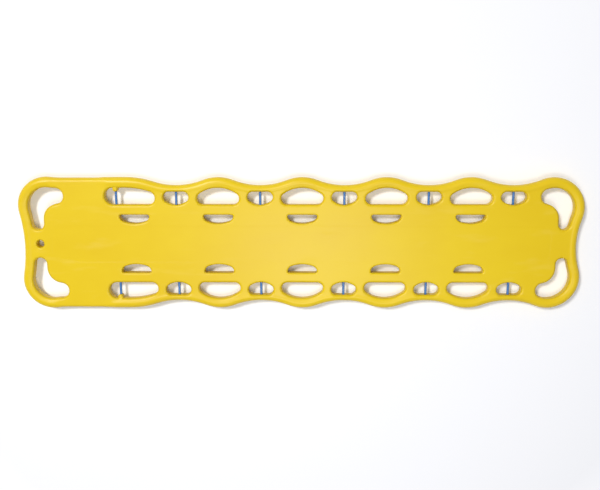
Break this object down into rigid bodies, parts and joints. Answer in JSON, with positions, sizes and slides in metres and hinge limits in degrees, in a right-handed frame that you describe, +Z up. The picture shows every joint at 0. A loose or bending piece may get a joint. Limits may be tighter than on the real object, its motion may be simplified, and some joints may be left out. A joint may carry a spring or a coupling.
{
  "type": "spine board",
  "caption": "Long rescue backboard with a wavy round rail, handholds all round, strap slots and blue strap pins across the small side openings.",
  "frame": {"origin": "on the floor under the middle of the board", "axes": "+X along the board towards the foot end, +Y across it to the patient's left, +Z up from the floor to the lying surface"},
  "size_m": [1.8299, 0.437, 0.05],
  "materials": {
    "moulded_skin": "satin moulded polyethylene, yellow",
    "strap_pin": "blue moulded plastic",
    "foam": "closed-cell foam",
    "rod": "pultruded fibre rod",
    "plug": "satin moulded polyethylene, yellow"
  },
  "bodies": {
    "root": {"board_shell": "moulded_skin", "foam_core": "foam", "stiffener_rod_left": "rod", "stiffener_rod_right": "rod", "strap_pin_head_left": "strap_pin", "strap_pin_shoulder_left": "strap_pin", "strap_pin_chest_left": "strap_pin", "strap_pin_hip_left": "strap_pin", "strap_pin_thigh_left": "strap_pin", "strap_pin_foot_left": "strap_pin", "strap_pin_head_right": "strap_pin", "strap_pin_shoulder_right": "strap_pin", "strap_pin_chest_right": "strap_pin", "strap_pin_hip_right": "strap_pin", "strap_pin_thigh_right": "strap_pin", "strap_pin_foot_right": "strap_pin", "fill_plug": "plug", "vent_plug": "plug"}
  },
  "joints": []
}
